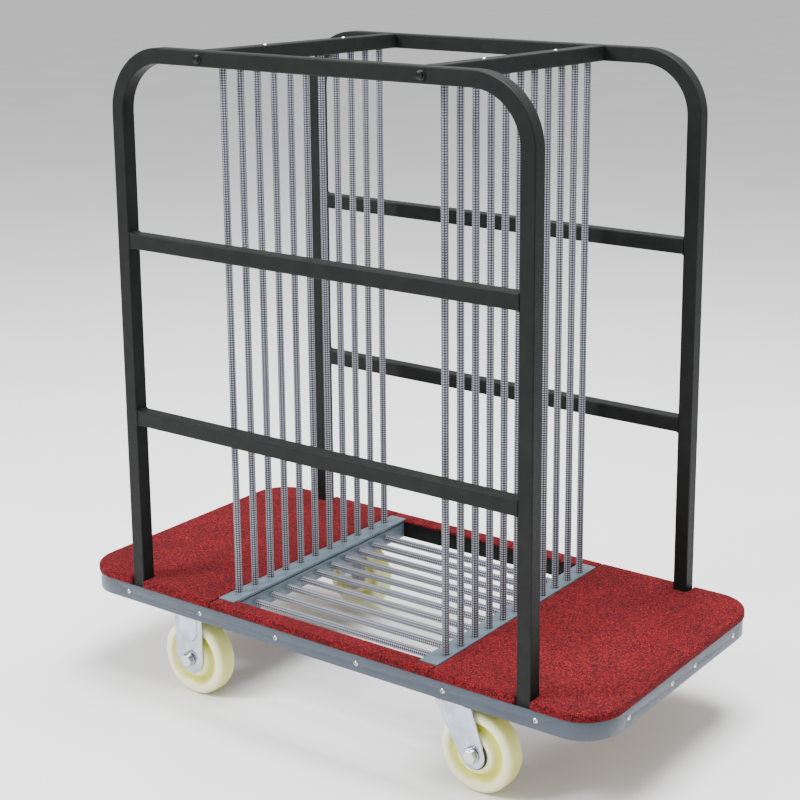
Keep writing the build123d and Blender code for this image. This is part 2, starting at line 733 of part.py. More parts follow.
def make_swivel_fork(name, x, y):
    """Swivel fork: round crown with a dust lip, and two cheeks that trail back to the axle."""
    x_axle = x + swivel_trail
    lip_r = race_outer_r + dust_lip_gap + dust_lip_thick
    fork = rod(lip_r, (x, y, crown_top), "z", -swivel_fork_thick)
    lip = rod(lip_r, (x, y, crown_top), "z", ball_dia)
    fork += lip - rod(lip_r - dust_lip_thick, (x, y, crown_top), "z", ball_dia)
    half = swivel_fork_top / 2
    z_low = crown_top - swivel_fork_thick
    fork += box(x - half, x + half, y - fork_gap / 2, y + fork_gap / 2, z_low, crown_top)
    top = Pos(x, crown_top - swivel_fork_thick / 2) * Rectangle(swivel_fork_top, swivel_fork_thick)
    end = Pos(x_axle, z_axle) * Circle(swivel_fork_end_r)
    outline = make_hull(top.edges() + end.edges())
    for way in (-1, 1):
        fork += cheek(outline, y + way * fork_gap / 2, way)
    fork -= rod(axle_dia / 2, (x_axle, y - fork_gap, z_axle), "y", 2 * fork_gap)
    fork -= rod(kingpin_dia / 2 + running_clearance, (x, y, z_low - 1), "z", 20)
    save(name, fork)


def make_kingpin(name, x, y):
    """Rivet that joins the top plate and the fork; its head is below the crown."""
    z_head = crown_top - swivel_fork_thick - kingpin_head_gap
    pin = rod(kingpin_dia / 2, (x, y, z_head), "z", z_bar_under - z_head)
    pin += rod(kingpin_head_r, (x, y, z_head), "z", -kingpin_head)
    low = pin.faces().sort_by(Axis.Z)[0].edges()
    save(name, fillet(low, kingpin_head_round))


def make_caster_bolts():
    """Hexagon bolts up through each top plate into the tapped bar."""
    bolts = []
    length = z_base_low - caster_bolt_tip_gap - z_plate_low
    for x, y in casters.values():
        for dx, dy in caster_holes:
            seat = (x + dx, y + dy, z_plate_low)
            bolt = hexagon_block(frame_bolt_af, seat, "z", -frame_bolt_head)
            bolts.append(bolt + rod(caster_bolt_dia / 2, seat, "z", length))
    save("caster_bolts", bolts)


def make_casters():
    balls = []
    for name, (x, y) in casters.items():
        x_axle = x
        if name.startswith("swivel"):
            x_axle = x + swivel_trail
            make_swivel_plate(f"{name}_plate", x, y)
            balls += ball_ring(x, y)
            make_swivel_fork(f"{name}_fork", x, y)
            make_kingpin(f"{name}_kingpin", x, y)
        else:
            make_fixed_bracket(f"{name}_bracket", x, y)
        make_wheel(f"{name}_wheel", x_axle, y)
        make_wheel_bearings(f"{name}_bearings", x_axle, y)
        make_axle(f"{name}_axle_bolt", f"{name}_axle_nut", x_axle, y)
    save("swivel_balls", balls)


# ---------------------------------------------------------------- build
make_base_frame()
make_deck_ledges()
make_cross_channel("cross_channel_left", -1)
make_cross_channel("cross_channel_right", 1)
make_caster_bars()
make_deck_board("deck_board_left", -1)
make_deck_board("deck_board_right", 1)
make_carpets()
make_edge_band()
make_band_screws()
make_cord_bar("cord_bar_left", -1)
make_cord_bar("cord_bar_right", 1)
make_cord_rail("cord_rail_left", -1)
make_cord_rail("cord_rail_right", 1)
make_bar_spacers()
make_side_frame("side_frame_near", -1)
make_side_frame("side_frame_far", 1)
make_mid_rails("mid_rails_near", -1)
make_mid_rails("mid_rails_far", 1)
make_cross_rail("cross_rail_left", -1)
make_cross_rail("cross_rail_right", 1)
make_cross_rail_plugs()
make_frame_bolts()
make_cross_rail_screws()
make_upright_cords("cords_left", -1)
make_upright_cords("cords_right", 1)
make_floor_cords()
make_ferrules()
make_casters()
make_caster_bolts()
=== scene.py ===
import json
import math
import random

import bmesh
import bpy
from mathutils import Matrix, Vector, noise


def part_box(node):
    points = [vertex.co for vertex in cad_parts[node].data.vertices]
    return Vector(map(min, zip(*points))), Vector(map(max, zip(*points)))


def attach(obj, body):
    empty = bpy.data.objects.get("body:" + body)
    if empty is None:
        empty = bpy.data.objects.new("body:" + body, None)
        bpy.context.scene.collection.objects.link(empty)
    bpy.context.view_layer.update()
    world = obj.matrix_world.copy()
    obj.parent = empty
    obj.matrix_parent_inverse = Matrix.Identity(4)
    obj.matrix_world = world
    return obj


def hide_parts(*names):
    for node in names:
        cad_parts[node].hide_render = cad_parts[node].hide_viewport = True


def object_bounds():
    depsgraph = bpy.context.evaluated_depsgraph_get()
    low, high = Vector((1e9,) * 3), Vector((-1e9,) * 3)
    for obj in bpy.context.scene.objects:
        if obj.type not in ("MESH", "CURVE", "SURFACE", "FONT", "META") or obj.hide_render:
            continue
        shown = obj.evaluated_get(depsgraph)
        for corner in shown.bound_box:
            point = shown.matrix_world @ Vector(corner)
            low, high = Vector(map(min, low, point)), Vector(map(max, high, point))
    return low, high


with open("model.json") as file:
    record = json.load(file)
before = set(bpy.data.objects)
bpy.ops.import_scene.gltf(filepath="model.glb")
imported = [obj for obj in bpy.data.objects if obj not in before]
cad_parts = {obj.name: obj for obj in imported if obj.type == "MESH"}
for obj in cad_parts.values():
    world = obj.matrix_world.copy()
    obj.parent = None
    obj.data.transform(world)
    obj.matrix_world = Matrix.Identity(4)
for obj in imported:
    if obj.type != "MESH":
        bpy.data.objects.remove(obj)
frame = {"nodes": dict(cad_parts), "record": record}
cad_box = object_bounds()
nodes = frame["nodes"]
slot_of = {s["node"]: s["material_slot"] for s in frame["record"]["subparts"]}
body_of = {
    node: body for body, members in frame["record"]["behaviour"]["bodies"].items() for node in members
}
random.seed(7)
MM = 0.001
casters = ("fixed_near", "fixed_far", "swivel_near", "swivel_far")
upright_count = 11            # cords in each upright row
floor_count = 10
floor_span = 60               # side of the floor over the diagonal of the cart
corner_r = 3.0 * MM           # corner of the tube that a weld bead follows
bead_r = 1.9 * MM


# ---------------------------------------------------------------- shader helpers
class Shader:
    """A short way to build a node material."""

    def __init__(self, name):
        self.material = bpy.data.materials.new(name)
        self.material.use_nodes = True
        self.tree = self.material.node_tree
        self.bsdf = self.tree.nodes["Principled BSDF"]
        self.coords = self.tree.nodes.new("ShaderNodeTexCoord")

    def add(self, kind, inputs=None, **settings):
        node = self.tree.nodes.new("ShaderNode" + kind)
        for key, value in settings.items():
            setattr(node, key, value)
        for key, value in (inputs or {}).items():
            if isinstance(value, bpy.types.NodeSocket):
                self.tree.links.new(value, node.inputs[key])
            else:
                node.inputs[key].default_value = value
        return node

    def noise(self, scale, detail=3.0, rough=0.5, vector=None, stretch=None):
        """Noise in object space; scale is in cycles per metre."""
        source = vector or self.coords.outputs["Object"]
        if stretch:
            source = self.add("Mapping", {"Vector": source, "Scale": stretch}).outputs[0]
        return self.add(
            "TexNoise", {"Vector": source, "Scale": scale, "Detail": detail, "Roughness": rough}
        ).outputs["Fac"]

    def ramp(self, factor, stops):
        """A colour ramp from (position, colour or grey) pairs."""
        node = self.add("ValToRGB", {"Fac": factor})
        elements = node.color_ramp.elements
        while len(elements) < len(stops):
            elements.new(0.5)
        for element, (position, colour) in zip(elements, stops):
            element.position = position
            grey = isinstance(colour, (int, float))
            element.color = (colour, colour, colour, 1) if grey else (*colour, 1)
        return node.outputs["Color"]

    def mix(self, factor, a, b):
        node = self.add("Mix", data_type="RGBA")
        for socket, value in (("Factor", factor), ("A", a), ("B", b)):
            target = [s for s in node.inputs if s.name == socket and s.enabled][0]
            if isinstance(value, bpy.types.NodeSocket):
                self.tree.links.new(value, target)
            elif isinstance(value, (int, float)):
                target.default_value = value
            else:
                target.default_value = (*value, 1)
        return [s for s in node.outputs if s.enabled][0]

    def math(self, operation, a, b=0.0):
        node = self.add("Math", operation=operation)
        for i, value in enumerate((a, b)):
            if isinstance(value, bpy.types.NodeSocket):
                self.tree.links.new(value, node.inputs[i])
            else:
                node.inputs[i].default_value = value
        return node.outputs[0]

    def bump(self, height, distance, strength=1.0, below=None):
        inputs = {"Height": height, "Distance": distance, "Strength": strength}
        if below:
            inputs["Normal"] = below
        return self.add("Bump", inputs).outputs["Normal"]

    def set(self, **values):
        """Set or link the main shader's sockets, named with underscores for spaces."""
        for key, value in values.items():
            socket = self.bsdf.inputs[key.replace("_", " ")]
            if isinstance(value, bpy.types.NodeSocket):
                self.tree.links.new(value, socket)
            elif isinstance(value, (tuple, list)) and len(value) == 3 and socket.type == "RGBA":
                socket.default_value = (*value, 1)
            else:
                socket.default_value = value
        return self


# ---------------------------------------------------------------- materials
def powder_coat(name, colour, rough, scuff):
    """Satin powder coat: fine orange peel, faint mottling and a few light scuffs."""
    s = Shader(name)
    mottled = s.ramp(s.noise(35, 4), [(0.3, [c * 0.8 for c in colour]), (0.7, [c * 1.25 for c in colour])])
    marks = s.ramp(s.noise(90, 5, 0.65, stretch=(1, 1, 0.25)), [(0.70, 0.0), (0.78, scuff)])
    worn = s.mix(marks, mottled, [min(1.0, c * 3 + 0.10) for c in colour])
    rough_map = s.ramp(s.noise(220, 2), [(0.3, rough - 0.06), (0.7, rough + 0.08)])
    peel = s.bump(s.noise(650, 2), 0.12 * MM, 0.35)
    s.set(Base_Color=worn, Roughness=rough_map, Normal=peel, Specular_IOR_Level=0.14)
    return s.material


def carpet():
    """Short cut pile: speckled dark-red tufts with a soft sheen."""
    s = Shader("carpet_red")
    tufts = s.add(
        "TexVoronoi", {"Vector": s.coords.outputs["Object"], "Scale": 460.0, "Randomness": 1.0}
    )
    shade = s.add("SeparateColor", {"Color": tufts.outputs["Color"]}).outputs[0]
    red = s.ramp(shade, [
        (0.00, (0.010, 0.001, 0.002)),
        (0.20, (0.035, 0.003, 0.005)),
        (0.42, (0.092, 0.004, 0.007)),
        (0.80, (0.128, 0.006, 0.008)),
        (1.00, (0.250, 0.010, 0.013)),
    ])
    trodden = s.ramp(s.noise(9, 4), [(0.35, 0.86), (0.65, 1.08)])
    worn = s.add("Mix", data_type="RGBA", blend_type="MULTIPLY")
    colour_inputs = [i for i in worn.inputs if i.enabled]
    colour_inputs[0].default_value = 1.0
    s.tree.links.new(red, colour_inputs[1])
    s.tree.links.new(trodden, colour_inputs[2])
    colour = [o for o in worn.outputs if o.enabled][0]
    pile = s.bump(tufts.outputs["Distance"], -0.7 * MM, 0.40)
    pile = s.bump(s.noise(1900, 2), 0.5 * MM, 0.35, below=pile)
    s.set(Base_Color=colour, Roughness=0.95, Normal=pile, Specular_IOR_Level=0.15)
    s.set(Sheen_Weight=0.05, Sheen_Roughness=0.45, Sheen_Tint=(0.9, 0.30, 0.32))
    return s.material


def braided_cord():
    """Braided sleeve: two families of yarns that cross at a slant, one of them darker, with painted shade
    near black in the gaps between them.
    """
    s = Shader("cord_grey")
    uv = s.add("SeparateXYZ", {"Vector": s.coords.outputs["UV"]})
    around, along = uv.outputs[0], uv.outputs[1]
    yarns = []
    for operation in ("ADD", "SUBTRACT"):
        slant = s.math(operation, around, along)
        saw = s.math("FRACT", slant)
        yarns.append((slant, s.math("ABSOLUTE", s.math("SUBTRACT", saw, 0.5))))
    cells = s.math("ADD", s.math("FLOOR", yarns[0][0]), s.math("FLOOR", yarns[1][0]))
    over = s.math("MODULO", s.math("ABSOLUTE", cells), 2.0)
    gap_a = s.ramp(yarns[0][1], [(0.37, 0.0), (0.47, 1.0)])
    gap_b = s.ramp(yarns[1][1], [(0.37, 0.0), (0.47, 1.0)])
    gaps = s.math("MAXIMUM", gap_a, gap_b)
    fibres = s.noise(2600, 2)
    light = s.ramp(fibres, [(0.3, (0.25, 0.255, 0.295)), (0.7, (0.40, 0.41, 0.455))])
    dark = s.ramp(fibres, [(0.3, (0.018, 0.019, 0.028)), (0.7, (0.055, 0.056, 0.075))])
    yarn = s.mix(over, light, dark)
    # painted shade: the gaps between yarns are painted near black
    colour = s.mix(gaps, yarn, (0.016, 0.016, 0.024))
    lift = s.math("SUBTRACT", 1.0, gaps)
    weave = s.bump(lift, 0.5 * MM, 0.6)
    weave = s.bump(fibres, 0.15 * MM, 0.4, below=weave)
    s.set(Base_Color=colour, Roughness=0.62, Normal=weave, Specular_IOR_Level=0.35)
    s.set(Sheen_Weight=0.2, Sheen_Roughness=0.4)
    return s.material


def zinc_plate(name, colour, rough):
    """Zinc plate: fine brushed grain, cloudy passivation, a little handling dirt and painted shade
    darkening its crevices.
    """
    s = Shader(name)
    cloudy = s.ramp(s.noise(38, 4), [
        (0.30, [c * 0.78 for c in colour]),
        (0.70, [min(1.0, c * 1.06) for c in colour]),
    ])
    dirt_and_crevice_shade = s.ramp(s.noise(130, 5, 0.6), [(0.66, 0.0), (0.80, 0.35)])
    # painted shade: ambient occlusion darkens crevices toward the dark colour, added to the noise of
    # handling dirt
    painted_crevice_shade = s.add("AmbientOcclusion", {"Distance": 5 * MM}, samples=6).outputs["AO"]
    dirt_and_crevice_shade = s.math("MAXIMUM", dirt_and_crevice_shade, s.ramp(painted_crevice_shade, [(0.45, 0.92), (0.93, 0.0)]))
    grained = s.noise(420, 3, stretch=(1, 1, 0.06))
    rough_map = s.ramp(grained, [(0.3, rough - 0.07), (0.7, rough + 0.10)])
    s.set(Base_Color=s.mix(dirt_and_crevice_shade, cloudy, (0.075, 0.070, 0.065)), Metallic=1.0, Roughness=rough_map)
    s.set(Normal=s.bump(grained, 0.05 * MM, 0.35))
    return s.material


def nylon():
    """Cast nylon: milky cream, a little light carried inside, scuffed on the tread, with painted shade as
    a deeper yellow on the rounded tread and in the dished web.
    """
    s = Shader("wheel_nylon")
    milky = s.ramp(s.noise(22, 3), [(0.3, (0.80, 0.80, 0.46)), (0.7, (0.88, 0.88, 0.58))])
    # painted shade: a darker, yellower tone on the rounded tread edge
    tread = s.add("Attribute", attribute_name="tread").outputs["Fac"]
    milky = s.mix(s.ramp(tread, [(0.10, 0.0), (0.90, 1.0)]), milky, (0.66, 0.66, 0.20))
    # painted shade: a darker, deep yellow the deeper a point sits in the dished recess
    depth = s.add("Attribute", attribute_name="recess_shade").outputs["Fac"]
    milky = s.mix(s.ramp(depth, [(0.05, 0.0), (0.80, 1.0)]), milky, (0.58, 0.56, 0.07))
    scuffs = s.ramp(s.noise(260, 5, 0.7), [(0.62, 0.0), (0.76, 0.30)])
    s.set(Base_Color=s.mix(scuffs, milky, (0.52, 0.49, 0.33)))
    s.set(Roughness=s.ramp(s.noise(180, 3), [(0.3, 0.30), (0.7, 0.46)]))
    s.set(Normal=s.bump(s.noise(300, 3), 0.10 * MM, 0.25))
    s.set(Subsurface_Weight=0.15, Subsurface_Radius=(1.0, 0.85, 0.45), Subsurface_Scale=0.004)
    return s.material


def plywood():
    """Birch plywood seen from below and at its edges."""
    s = Shader("board_wood")
    grain = s.noise(60, 5, 0.6, stretch=(0.15, 1, 1))
    figure = s.ramp(grain, [(0.3, (0.33, 0.22, 0.12)), (0.7, (0.52, 0.38, 0.23))])
    s.set(Base_Color=figure, Roughness=0.7, Normal=s.bump(grain, 0.2 * MM, 0.3))
    return s.material


def dark_moulding():
    """Dark bearing plastic with a dry, slightly uneven surface."""
    s = Shader("bearing_dark")
    tone = s.ramp(s.noise(300, 3), [(0.3, (0.020, 0.014, 0.010)), (0.7, (0.055, 0.040, 0.030))])
    s.set(Base_Color=tone, Roughness=0.5, Normal=s.bump(s.noise(900, 2), 0.05 * MM, 0.4))
    return s.material


def blue_grey(name, colour, rough):
    """Blue-grey enamel with small chips and dusty roughness."""
    s = Shader(name)
    even = s.ramp(s.noise(28, 4), [(0.3, [c * 0.90 for c in colour]), (0.7, [c * 1.08 for c in colour])])
    chips = s.ramp(s.noise(420, 4, 0.7), [(0.70, 0.0), (0.76, 0.55)])
    s.set(Base_Color=s.mix(chips, even, [c * 0.45 for c in colour]))
    s.set(Roughness=s.ramp(s.noise(120, 3), [(0.3, rough - 0.05), (0.7, rough + 0.10)]))
    s.set(Normal=s.bump(s.noise(700, 2), 0.08 * MM, 0.4), Coat_Weight=0.15, Coat_Roughness=0.3)
    return s.material


materials = {
    "base_steel": powder_coat("base_steel", (0.004, 0.0045, 0.0045), 0.52, 0.10),
    "frame_black": powder_coat("frame_black", (0.0070, 0.0078, 0.0072), 0.50, 0.07),
    "bar_grey": blue_grey("bar_grey", (0.080, 0.114, 0.142), 0.42),
    "band_grey": blue_grey("band_grey", (0.027, 0.042, 0.063), 0.42),
    "carpet_red": carpet(),
    "board_wood": plywood(),
    "cord_grey": braided_cord(),
    "ferrule_steel": zinc_plate("ferrule_steel", (0.70, 0.70, 0.70), 0.35),
    "screw_nickel": zinc_plate("screw_nickel", (0.78, 0.75, 0.68), 0.18),
    "fastener_zinc": zinc_plate("fastener_zinc", (0.60, 0.61, 0.60), 0.20),
    "bolt_black": zinc_plate("bolt_black", (0.035, 0.038, 0.038), 0.26),
    "caster_zinc": zinc_plate("caster_zinc", (0.50, 0.55, 0.64), 0.24),
    "wheel_nylon": nylon(),
    "bearing_dark": dark_moulding(),
}


# ---------------------------------------------------------------- mesh helpers
def new_piece(name, mesh, body, slot, *replaced):
    """Add a mesh object that rides on a body and takes its finish from a slot."""
    piece = bpy.data.objects.new(name, mesh)
    bpy.context.scene.collection.objects.link(piece)
    mesh.materials.clear()
    mesh.materials.append(materials[slot])
    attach(piece, body)
    if replaced:
        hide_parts(*replaced)
    return piece


def smooth_by_angle(mesh, degrees=32):
    """Smooth shading, with edges sharper than the angle kept crisp."""
    for polygon in mesh.polygons:
        polygon.use_smooth = True
    mesh.set_sharp_from_angle(angle=math.radians(degrees))


def refined(node, width):
    """The CAD node's shape with its edges rounded, as a piece that replaces it."""
    bm = bmesh.new()
    bm.from_mesh(nodes[node].data)
    bmesh.ops.remove_doubles(bm, verts=bm.verts, dist=2e-6)
    bmesh.ops.dissolve_limit(bm, angle_limit=math.radians(0.6), verts=bm.verts, edges=bm.edges)
    sharp = [e for e in bm.edges if len(e.link_faces) == 2 and e.calc_face_angle(0) > math.radians(30)]
    bmesh.ops.bevel(
        bm, geom=sharp, offset=width, offset_type="OFFSET", segments=2, profile=0.5,
        affect="EDGES", clamp_overlap=True,
    )
    mesh = bpy.data.meshes.new(node + "_mesh")
    bm.to_mesh(mesh)
    bm.free()
    smooth_by_angle(mesh, 40)
    return new_piece(node + "_finished", mesh, body_of[node], slot_of[node], node)


def applied(obj):
    """The object's mesh with its modifiers applied, as new mesh data."""
    graph = bpy.context.evaluated_depsgraph_get()
    return bpy.data.meshes.new_from_object(obj.evaluated_get(graph))


# ---------------------------------------------------------------- carried-over nodes
for node, obj in nodes.items():
    obj.data.materials.clear()
    obj.data.materials.append(materials[slot_of[node]])
    smooth_by_angle(obj.data)


# ---------------------------------------------------------------- carpet
def carpet_piece(node, voxel=3.0 * MM, pile=0.45 * MM):
    """Remesh the carpet evenly, then lift and drop its surface as short tufts do."""
    source = bpy.data.objects.new(node + "_source", nodes[node].data.copy())
    bpy.context.scene.collection.objects.link(source)
    remesh = source.modifiers.new("even", "REMESH")
    remesh.mode = "VOXEL"
    remesh.voxel_size = voxel
    soft = source.modifiers.new("soft", "SMOOTH")
    soft.iterations = 2
    mesh = applied(source)
    bpy.data.objects.remove(source)
    normals = [v.normal.copy() for v in mesh.vertices]
    for vertex, normal in zip(mesh.vertices, normals):
        tufts = noise.noise(vertex.co * 260.0)
        waves = noise.noise(vertex.co * 14.0)
        vertex.co += normal * (pile * tufts + 0.5 * pile * waves)
    for polygon in mesh.polygons:
        polygon.use_smooth = True
    return new_piece(node + "_pile", mesh, body_of[node], slot_of[node], node)


for node in ("carpet_left", "carpet_right"):
    carpet_piece(node)
for node, rail in (("carpet_strip_near", "base_rail_near"), ("carpet_strip_far", "base_rail_far")):
    carpet_piece(node)


# ---------------------------------------------------------------- braided cords
braid_strands = 8
braid_pitch = 4.8 * MM        # length of one crossing along the cord
braid_sides = 24
braid_step = 1.6 * MM
braid_depth = 0.30 * MM


def braid_mesh(name, radius, length):
    """A braided tube along +Z from the origin, with UVs that count yarns round and along it."""
    rings = max(2, round(length / braid_step)) + 1
    mesh = bpy.data.meshes.new(name)
    verts = []
    for i in range(rings):
        z = length * i / (rings - 1)
        for k in range(braid_sides):
            u = braid_strands * k / braid_sides
            v = z / braid_pitch
            a = abs(((u + v) % 1.0) - 0.5) * 2
            b = abs(((u - v) % 1.0) - 0.5) * 2
            r = radius - braid_depth * max(a, b) ** 3
            angle = 2 * math.pi * k / braid_sides
            verts.append((r * math.cos(angle), r * math.sin(angle), z))
    faces = []
    for i in range(rings - 1):
        for k in range(braid_sides):
            n = (k + 1) % braid_sides
            row, up = i * braid_sides, (i + 1) * braid_sides
            faces.append((row + k, row + n, up + n, up + k))
    faces.append(tuple(reversed(range(braid_sides))))
    faces.append(tuple((rings - 1) * braid_sides + k for k in range(braid_sides)))
    mesh.from_pydata(verts, [], faces)
    layer = mesh.uv_layers.new(name="braid")
    for polygon in mesh.polygons:
        wall = len(polygon.vertices) == 4
        for corner, index in zip(polygon.loop_indices, polygon.vertices):
            ring, k = divmod(index, braid_sides)
            if wall and k == 0 and braid_sides - 1 in [v % braid_sides for v in polygon.vertices]:
                k = braid_sides
            z = length * ring / (rings - 1)
            layer.data[corner].uv = (braid_strands * k / braid_sides, z / braid_pitch)
    for polygon in mesh.polygons:
        polygon.use_smooth = len(polygon.vertices) == 4
    return mesh


def cord_row(node, label, lengthwise):
    """Braided cords in place of a node's plain ones, evenly spaced across its box."""
    low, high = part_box(node)
    radius = (high.x - low.x) / 2 if lengthwise == "z" else (high.z - low.z) / 2
    length = high.z - low.z if lengthwise == "z" else high.x - low.x
    count = upright_count if lengthwise == "z" else floor_count
    shared = braid_mesh(label, radius, length)
    for i in range(count):
        y = low.y + radius + (high.y - low.y - 2 * radius) * i / (count - 1)
        spin = Matrix.Rotation(random.uniform(0, 2 * math.pi), 4, "Z")
        if lengthwise == "z":
            place = Matrix.Translation(((low.x + high.x) / 2, y, low.z))
        else:
            start = Matrix.Translation((low.x, y, (low.z + high.z) / 2))
            place = start @ Matrix.Rotation(math.pi / 2, 4, "Y")
        piece = bpy.data.objects.new(f"{label}_{i + 1:02d}", shared)
        bpy.context.scene.collection.objects.link(piece)
        piece.matrix_world = place @ spin
        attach(piece, body_of[node])
        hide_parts(node)
    shared.materials.append(materials[slot_of[node]])


cord_row("cords_left", "left_cord", "z")
cord_row("cords_right", "right_cord", "z")
cord_row("cords_floor", "floor_cord", "x")


# ---------------------------------------------------------------- wheels
def lathe(name, profile, sides, centre):
    """Turn a closed (radius, width) profile about the Y axis at a centre."""
    verts, faces = [], []
    for i in range(sides):
        a = 2 * math.pi * i / sides
        for r, w in profile:
            verts.append((centre.x + r * math.cos(a), centre.y + w, centre.z + r * math.sin(a)))
    n = len(profile)
    for i in range(sides):
        j = (i + 1) % sides
        for k in range(n):
            m = (k + 1) % n
            faces.append((i * n + k, i * n + m, j * n + m, j * n + k))
    mesh = bpy.data.meshes.new(name)
    mesh.from_pydata(verts, [], faces)
    bm = bmesh.new()
    bm.from_mesh(mesh)
    bmesh.ops.recalc_face_normals(bm, faces=bm.faces)
    bm.to_mesh(mesh)
    bm.free()
    return mesh


def rounded_profile(points, radius, steps=4):
    """Round each corner of a closed outline with an arc-like blend."""
    out = []
    n = len(points)
    for i in range(n):
        p0, p1, p2 = (Vector(points[(i + d) % n]) for d in (-1, 0, 1))
        reach = min(radius, (p0 - p1).length * 0.45, (p2 - p1).length * 0.45)
        a = p1 + (p0 - p1).normalized() * reach
        b = p1 + (p2 - p1).normalized() * reach
        for k in range(steps + 1):
            t = k / steps
            out.append((1 - t) ** 2 * a + 2 * t * (1 - t) * p1 + t * t * b)
    return [(p.x, p.y) for p in out]


def wheel_piece(node):
    """Nylon wheel with a crowned tread, a raised rim, a dished web and a stepped hub."""
    low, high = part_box(node)
    centre = (low + high) / 2
    radius = (high.x - low.x) / 2
    hub_half = (high.y - low.y) / 2
    half = hub_half - 2 * MM
    bore = 13.0 * MM
    side = [
        (bore, hub_half),
        (34.0 * MM, hub_half),
        (37.0 * MM, hub_half - 1.2 * MM),
        (40.5 * MM, half - 5 * MM),
        (45.0 * MM, half - 9 * MM),
        (51.0 * MM, half - 9.5 * MM),
        (56.5 * MM, half - 6.5 * MM),
        (60.5 * MM, half - 1.8 * MM),
        (65.0 * MM, half),
        (radius - 8 * MM, half - 0.6 * MM),
        (radius - 2.4 * MM, half - 5.0 * MM),
        (radius - 0.4 * MM, half - 11 * MM),
        (radius, 0.0),
    ]
    other = [(r, -w) for r, w in reversed(side[:-1])]
    mesh = lathe(node + "_mesh", rounded_profile(side + other, 2.5 * MM), 120, centre)
    smooth_by_angle(mesh, 50)
    # painted shade mask: how deep each vertex sits in the dished web, used to darken the recess
    recess_shade = mesh.attributes.new("recess_shade", "FLOAT", "POINT")
    for vertex, value in zip(mesh.vertices, recess_shade.data):
        away = math.hypot(vertex.co.x - centre.x, vertex.co.z - centre.z)
        value.value = (half - abs(vertex.co.y - centre.y)) / (10 * MM) if away < radius - 9 * MM else 0.0
    # painted shade mask: rises to 1 over the outer 6 mm of the tread
    tread = mesh.attributes.new("tread", "FLOAT", "POINT")
    for vertex, value in zip(mesh.vertices, tread.data):
        away = math.hypot(vertex.co.x - centre.x, vertex.co.z - centre.z)
        value.value = max(0.0, (away - radius + 6 * MM) / (6 * MM))
    return new_piece(node + "_moulded", mesh, body_of[node], slot_of[node], node)


for caster in casters:
    wheel_piece(caster + "_wheel")


# ---------------------------------------------------------------- finished metal
edge_round = {
    "edge_band": 0.9 * MM,
    "cord_bar_left": 0.6 * MM,
    "cord_bar_right": 0.6 * MM,
    "cord_rail_left": 0.8 * MM,
    "cord_rail_right": 0.8 * MM,
    "band_screws": 0.15 * MM,
    "cross_rail_screws": 0.15 * MM,
    "frame_bolts": 0.5 * MM,
    "caster_bolts": 0.5 * MM,
    "fixed_near_bracket": 0.5 * MM,
    "fixed_far_bracket": 0.5 * MM,
    "swivel_near_fork": 0.5 * MM,
    "swivel_far_fork": 0.5 * MM,
    "swivel_near_plate": 0.4 * MM,
    "swivel_far_plate": 0.4 * MM,
}
for caster in casters:
    edge_round[caster + "_axle_bolt"] = 0.6 * MM
    edge_round[caster + "_axle_nut"] = 0.6 * MM
finished = {node: refined(node, width) for node, width in edge_round.items()}


def cross_recess(node, arm, slot, depth):
    """Cut a driver's cross in every screw head of a finished node."""
    piece = finished[node]
    bm = bmesh.new()
    bm.from_mesh(piece.data)
    left = set(bm.verts)
    cutter = bmesh.new()
    while left:
        stack = [left.pop()]
        low, high = stack[0].co.copy(), stack[0].co.copy()
        while stack:
            vertex = stack.pop()
            for i in range(3):
                low[i], high[i] = min(low[i], vertex.co[i]), max(high[i], vertex.co[i])
            for edge in vertex.link_edges:
                other = edge.other_vert(vertex)
                if other in left:
                    left.discard(other)
                    stack.append(other)
        along = max(range(3), key=lambda i: high[i] - low[i])
        tip = (low + high) / 2
        tip[along] = high[along] if tip[along] > 0 else low[along]
        sides = [i for i in range(3) if i != along]
        for long_side, short_side in (sides, sides[::-1]):
            size = Vector((0, 0, 0))
            size[along], size[long_side], size[short_side] = 2 * depth, arm, slot
            place = Matrix.Translation(tip) @ Matrix.Diagonal((*size, 1.0))
            bmesh.ops.create_cube(cutter, size=1.0, matrix=place)
    bm.free()
    mesh = bpy.data.meshes.new(node + "_cutter")
    cutter.to_mesh(mesh)
    cutter.free()
    tool = bpy.data.objects.new(node + "_cutter", mesh)
    bpy.context.scene.collection.objects.link(tool)
    cut = piece.modifiers.new("recess", "BOOLEAN")
    cut.object = tool
    cut.solver = "EXACT"
    cut.use_self = True
    shaped = applied(piece)
    piece.modifiers.clear()
    piece.data = shaped
    smooth_by_angle(shaped, 40)
    bpy.data.objects.remove(tool)


cross_recess("band_screws", 6.4 * MM, 1.5 * MM, 1.8 * MM)
cross_recess("cross_rail_screws", 5.0 * MM, 1.2 * MM, 1.4 * MM)


